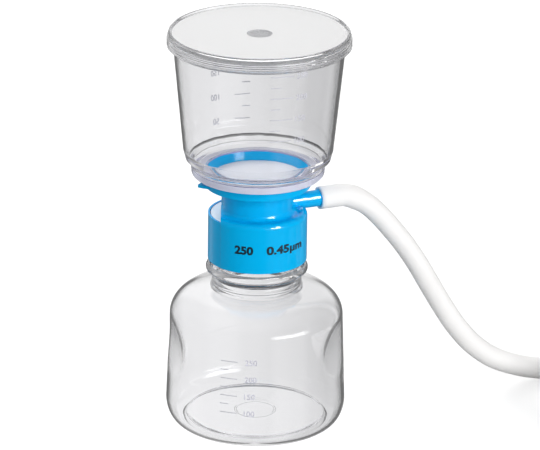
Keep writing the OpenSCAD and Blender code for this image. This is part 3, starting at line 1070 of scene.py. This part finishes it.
# %% Set the scales and their figures
def wrapped_text(name, text, height, bold, start, turn, base_z, wall_r, slope=0.0, width=None):
    """Text on a wall, in millimetres: it starts so far along the wall from a direction."""
    curve = bpy.data.curves.new(name, "FONT")
    curve.body = text
    curve.size = 1
    curve.offset = bold
    seed = bpy.data.objects.new(name + "_seed", curve)
    bpy.context.scene.collection.objects.link(seed)
    mesh = bpy.data.meshes.new_from_object(seed.evaluated_get(bpy.context.evaluated_depsgraph_get()))
    bpy.data.objects.remove(seed)
    place = np.array([v.co for v in mesh.vertices])
    place[:, 0] -= place[:, 0].min()
    # a figure is as tall as a capital, which is 0.73 of the font's size
    place *= height / 0.73
    if width:
        place[:, 0] *= width / place[:, 0].max()
    mesh.vertices.foreach_set("co", place.astype(np.float32).ravel())
    cut = bmesh.new()
    cut.from_mesh(mesh)
    strip = 0.5
    for x in np.arange(strip, place[:, 0].max(), strip):
        whole = cut.verts[:] + cut.edges[:] + cut.faces[:]
        bmesh.ops.bisect_plane(cut, geom=whole, plane_co=(x, 0, 0), plane_no=(1, 0, 0))
    cut.to_mesh(mesh)
    cut.free()
    place = np.array([v.co for v in mesh.vertices])
    r = wall_r + proud + slope * place[:, 1]
    angle = math.radians(turn) + (start + place[:, 0]) / wall_r
    bent = np.stack([r * np.cos(angle), r * np.sin(angle), base_z + place[:, 1]], axis=1) * MM
    mesh.vertices.foreach_set("co", bent.astype(np.float32).ravel())
    mesh.update()
    piece = bpy.data.objects.new(name, mesh)
    bpy.context.scene.collection.objects.link(piece)
    return piece


def scale(name, body, figures, radius_at, slope, low, step, turn, long, short, figures_at):
    """A scale of bars up a wall, from a height and a step apart, with a figure beside every
    long one, so far along the wall from the direction that the bars start at."""
    wall_r = radius_at(low)
    bars = grown_piece(
        name,
        lines,
        Lines=2 * len(figures) - 1,
        Lowest=low * MM,
        Step=step * MM,
        Radius=(wall_r + proud) * MM,
        Slope=slope,
        Turn=math.radians(turn),
        Long=long / wall_r,
        Short=short / wall_r,
        Thickness=0.4 * MM,
        Finish=raised,
    )
    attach(bars, body)
    tall, bold = 3.0, 0.012
    for number, figure in enumerate(figures):
        up = 2 * step * number
        foot, r = low + up - tall / 2, wall_r + slope * up
        label = wrapped_text(f"{name}_{figure}", figure, tall, bold, figures_at, turn, foot, r, slope)
        show(label, raised)
        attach(label, body)
    print(name, "has", len(bars.data.polygons), "faces and figures", figures)


funnel_slope = (wall_high_r - wall_low_r) / (wall_high_z - wall_low_z)
bottle_slope = (body_top_r - body_r) / (turn_z - body_low_z)


def funnel_r(z):
    """Outer radius of the funnel's straight wall at a height."""
    return wall_low_r + funnel_slope * (z - wall_low_z)


def bottle_r(z):
    """Outer radius of the bottle's body at a height."""
    return body_r + bottle_slope * (z - body_low_z)


scale(
    "funnel_scale", "head", ("100", "150", "200", "250"), funnel_r, funnel_slope,
    low=161.4, step=5.7, turn=-82.0, long=11.0, short=5.0, figures_at=13.0,
)
scale(
    "funnel_back_scale", "head", ("50", "100", "150"), funnel_r, funnel_slope,
    low=148.1, step=6.2, turn=97.0, long=8.0, short=4.0, figures_at=17.0,
)
scale(
    "bottle_scale", "bottle", ("100", "150", "200", "250"), bottle_r, bottle_slope,
    low=20.0, step=4.5, turn=-113.0, long=9.0, short=4.5, figures_at=12.5,
)

# %% [markdown]
# ## The printed number
#
# The collar is pad printed with plain figures: the size of the unit in millilitres and the
# size of the membrane's pores.

# %% Print the collar
ink = mottled("pad_print_ink", "#0C2A38", "#10303F", size=1.5, rough=0.4, relief=0.05)
collar_r, print_z, print_tall, print_bold = 25.0, 97.1, 4.2, 0.045
for name, text, start, width in (("print_size", "250", -11.4, 9.6), ("print_pores", "0.45µm", 4.8, 22.2)):
    words = wrapped_text(
        name, text, print_tall, print_bold, start, -90.0, print_z, collar_r, width=width
    )
    show(words, ink)
    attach(words, "head")
    print(words.name, "has", len(words.data.polygons), "faces")

# %% [markdown]
# ## Light and floor
#
# Clear plastic has hardly any look of its own: it shows what is behind it, and it mirrors
# the room. Clear ware is therefore shown in a tent with brighter and darker walls, so that
# each upright edge carries a bright or a dark line. Here the tent is the world.
#
# - Rays that only pass through a wall see a white background that falls off a little to the
#   right, as paper does that is lit from the left. Above the paper, and in front of the
#   object, it is dark, which draws the dark lines along edges and under ledges.
# - Rays that were mirrored on their way see the tent: grey with brighter strips, white above
#   the bench at the back, and a low bright window in front on the right.
# - Plain surfaces get even light from all round and the light of two large lamps, which are
#   kept out of the mirrored rays. Behind clear walls the even light is stronger.
# - A third, smaller lamp is only ever mirrored, and only by the blue base: it draws the crisp
#   glints on its edges.

# %% Place the lamps
def lamp(name, place, target, size, level, spark=False):
    """A square area lamp, in metres, that gives white at target that level of light. A spark
    is mirrored by surfaces but doesn't light them."""
    data = bpy.data.lights.new(name, "AREA")
    data.size = size
    way = Vector(target) - Vector(place)
    data.energy = level * math.pi**2 * way.length_squared
    light = bpy.data.objects.new(name, data)
    light.location = place
    light.rotation_mode = "QUATERNION"
    light.rotation_quaternion = way.to_track_quat("-Z", "Y")
    light.visible_transmission = False
    light.visible_glossy = spark
    light.visible_diffuse = not spark
    bpy.context.scene.collection.objects.link(light)
    return light


def only_for(light, pieces):
    """Keeps a lamp for those pieces alone."""
    chosen = bpy.data.collections.new(light.name + "_pieces")
    for piece in pieces:
        chosen.objects.link(piece)
    light.light_linking.receiver_collection = chosen


# half way up the object, in metres
middle = (0, 0, 0.11)
lamp("key_lamp", (0.7, -1.1, 0.55), middle, size=0.8, level=0.76)
lamp("back_lamp", (-0.75, 0.95, 1.0), middle, size=0.8, level=0.66)
spark = lamp("spark_lamp", (0.95, -0.95, 0.75), middle, size=0.6, level=4.5, spark=True)
only_for(spark, [nodes["filter_base"]])
print("lamps:", sorted(light.name for light in bpy.data.lights))

# %% Build the tent
def ramp(tree, value, low, high, stops):
    """A value that runs through stops, each a (value, level), between low and high."""
    share = add(tree, "ShaderNodeMapRange", {"Value": value, "From Min": low, "From Max": high})
    node = add(tree, "ShaderNodeValToRGB", {"Fac": share.outputs["Result"]})
    elements = node.color_ramp.elements
    for number, (at, level) in enumerate(stops):
        element = elements[number] if number < 2 else elements.new(1)
        element.position = (at - low) / (high - low)
        element.color = (level, level, level, 1)
    return node.outputs["Color"]


def met_before(tree, kind):
    """1 for a ray that was mirrored (Glossy), scattered (Diffuse) or bent (Transmission) on
    its way, and 0 for any other."""
    ray = add(tree, "ShaderNodeLightPath")
    depth = ray.outputs[kind + " Depth"]
    once = add(tree, "ShaderNodeMath", {0: depth, 1: 0.5}, operation="GREATER_THAN")
    return once.outputs["Value"]


def fall_off(tree, across, reach):
    """The level of the background over a distance to each side of the middle."""
    return ramp(tree, across, -reach, reach, [(-reach, 1.04), (0, 0.95), (reach, 0.77)])


def light_tent(even_level, inside_level, roof_level, back_level, window_level, walls):
    """walls gives the level of the tent by its direction in degrees, from the back to the
    right. inside_level is what surfaces behind clear walls get on top of even_level."""
    world = bpy.data.worlds.new("light_tent")
    bpy.context.scene.world = world
    world.use_nodes = True
    sky = world.node_tree
    sky.nodes.clear()
    way = add(sky, "ShaderNodeTexCoord")
    part = add(sky, "ShaderNodeSeparateXYZ", {"Vector": way.outputs["Generated"]})
    turn = add(sky, "ShaderNodeMath", {0: part.outputs["X"], 1: part.outputs["Y"]}, operation="ARCTAN2")
    degrees = add(sky, "ShaderNodeMath", {0: turn.outputs["Value"]}, operation="DEGREES")

    def by_direction(stops):
        return ramp(sky, degrees.outputs["Value"], -180, 180, stops)

    def by_height(stops):
        return ramp(sky, part.outputs["Z"], -1, 1, stops)

    roof = by_height([(-1, 0), (0.5, 0), (0.85, 1), (1, 1)])
    # the back wall is white above the bench
    behind = by_direction([(-180, 0), (-40, 0), (-25, 1), (25, 1), (40, 0), (180, 0)])
    above = by_height([(-1, 0), (0.05, 0), (0.2, 1), (1, 1)])
    back = add(sky, "ShaderNodeMath", {0: behind, 1: above}, operation="MULTIPLY")
    # a low window in front on the right draws the soft streaks on shoulders and edges
    across = by_direction([(-180, 0), (104, 0), (116, 1), (150, 1), (162, 0), (180, 0)])
    upward = by_height([(-1, 0), (-0.9, 0.1), (-0.02, 0.1), (0.06, 1), (0.2, 1), (0.28, 0), (1, 0)])
    window = add(sky, "ShaderNodeMath", {0: across, 1: upward}, operation="MULTIPLY")
    room = by_direction(walls)
    for share, level in (
        (roof, roof_level),
        (back.outputs["Value"], back_level),
        (window.outputs["Value"], window_level),
    ):
        layer = add(
            sky, "ShaderNodeMix", {"Factor": share, "A": room, "B": [level] * 3 + [1]}, data_type="RGBA"
        )
        room = layer.outputs["Result"]
    mirrored = add(sky, "ShaderNodeBackground", {"Color": room})
    # above the paper the room is dark, for rays that a wall has bent upwards
    over = by_height([(-1, 1), (0.0, 1), (0.08, 0.1), (1, 0.1)])
    paper = fall_off(sky, part.outputs["X"], 0.3)
    seen = add(sky, "ShaderNodeMath", {0: paper, 1: over}, operation="MULTIPLY")
    passed = add(sky, "ShaderNodeBackground", {"Color": seen.outputs["Value"]})
    white = add(sky, "ShaderNodeBackground", {"Color": (1, 1, 1, 1)})
    # what lies behind clear walls also gathers the light that they bend towards it
    inside = add(
        sky,
        "ShaderNodeMath",
        {0: met_before(sky, "Transmission"), 1: inside_level, 2: even_level},
        operation="MULTIPLY_ADD",
    )
    even = add(sky, "ShaderNodeBackground", {"Color": (1, 1, 1, 1), "Strength": inside.outputs["Value"]})
    ray = add(sky, "ShaderNodeLightPath")
    shown = passed.outputs["Background"]
    # a later choice overrules an earlier one
    for choice, shader in (
        (met_before(sky, "Glossy"), mirrored),
        (met_before(sky, "Diffuse"), even),
        (ray.outputs["Is Camera Ray"], white),
    ):
        mix = add(sky, "ShaderNodeMixShader", {0: choice, 1: shown, 2: shader.outputs["Background"]})
        shown = mix.outputs["Shader"]
    add(sky, "ShaderNodeOutputWorld", {"Surface": shown})
    print("tent has", len(sky.nodes), "nodes")


light_tent(
    even_level=0.45,
    inside_level=1.1,
    roof_level=0.45,
    back_level=1.05,
    window_level=5.0,
    walls=[
        (-180, 0.12), (-120, 0.12), (-100, 0.3), (-62, 0.5), (-45, 0.8), (-30, 0.35), (-24, 0.16),
        (-10, 0.16), (-6, 0.8), (6, 0.8), (10, 0.16), (36, 0.16), (48, 0.3), (62, 0.4), (75, 0.15),
        (180, 0.12),
    ],
)

# %% [markdown]
# The bench is one large sheet of paper. To the eye it is white and keeps the soft shadow of
# the object. For bent rays it is the background seen through the clear walls, and mirrored
# rays pass it, so that they see the tent.

# %% Lay the floor
# half the width of the paper, in metres
half = 6.0


def white_paper():
    """Paper that is white where it is lit, keeps a soft shadow and lets mirrored rays pass."""
    paper, tree = new_material("white_paper")
    place = add(tree, "ShaderNodeTexCoord")
    part = add(tree, "ShaderNodeSeparateXYZ", {"Vector": place.outputs["Object"]})
    # bent rays see paper that is lit from just in front of the object to well behind it
    lit_stops = [(-0.5, 0.3), (-0.1, 1), (1.2, 1), (2.6, 0.3)]
    lit_part = ramp(tree, part.outputs["Y"], -half, half, lit_stops)
    fall = fall_off(tree, part.outputs["X"], 40 * MM)
    seen = add(tree, "ShaderNodeMath", {0: fall, 1: lit_part}, operation="MULTIPLY")
    # part of the white is the lamps' light, which the object can shade. The rest is the
    # paper's own, and far from the object, where the lamps give out, that is all of it.
    lit = add(tree, "ShaderNodeBsdfDiffuse", {"Color": (0.5, 0.5, 0.5, 1)})
    away = add(tree, "ShaderNodeVectorMath", {0: place.outputs["Object"]}, operation="LENGTH")
    own = add(
        tree,
        "ShaderNodeMapRange",
        {
            "Value": away.outputs["Value"],
            "From Min": 0.5,
            "From Max": 1.5,
            "To Min": 0.62,
            "To Max": 1.0,
        },
    )
    glow = add(tree, "ShaderNodeEmission", {"Color": (1, 1, 1, 1), "Strength": own.outputs["Result"]})
    passed = add(tree, "ShaderNodeEmission", {"Color": seen.outputs["Value"]})
    clear = add(tree, "ShaderNodeBsdfTransparent")
    ray = add(tree, "ShaderNodeLightPath")
    for_eye = add(tree, "ShaderNodeAddShader", {0: lit.outputs["BSDF"], 1: glow.outputs["Emission"]})
    shown = lit.outputs["BSDF"]
    # a later choice overrules an earlier one
    for choice, shader in (
        (ray.outputs["Is Transmission Ray"], passed.outputs["Emission"]),
        (met_before(tree, "Glossy"), clear.outputs["BSDF"]),
        (met_before(tree, "Diffuse"), lit.outputs["BSDF"]),
        (ray.outputs["Is Camera Ray"], for_eye.outputs["Shader"]),
    ):
        mix = add(tree, "ShaderNodeMixShader", {0: choice, 1: shown, 2: shader})
        shown = mix.outputs["Shader"]
    add(tree, "ShaderNodeOutputMaterial", {"Surface": shown})
    return paper


sheet = [(-half, -half, 0), (half, -half, 0), (half, half, 0), (-half, half, 0)]
floor = new_piece("floor", sheet, [(0, 1, 2, 3)])
floor.data.materials.append(white_paper())
print("floor is", 2 * half, "m wide")

# %% [markdown]
# ## Reading the picture
#
# A ray that runs along a clear wall is bent and mirrored many times before it leaves. Where
# it is cut short it turns black, so the limits on its bounces are high.

# %% Set how the picture is read
scene = bpy.context.scene
scene.view_settings.view_transform = "Standard"
scene.cycles.max_bounces = 80
scene.cycles.transmission_bounces = 80
scene.cycles.transparent_max_bounces = 32
scene.cycles.glossy_bounces = 60
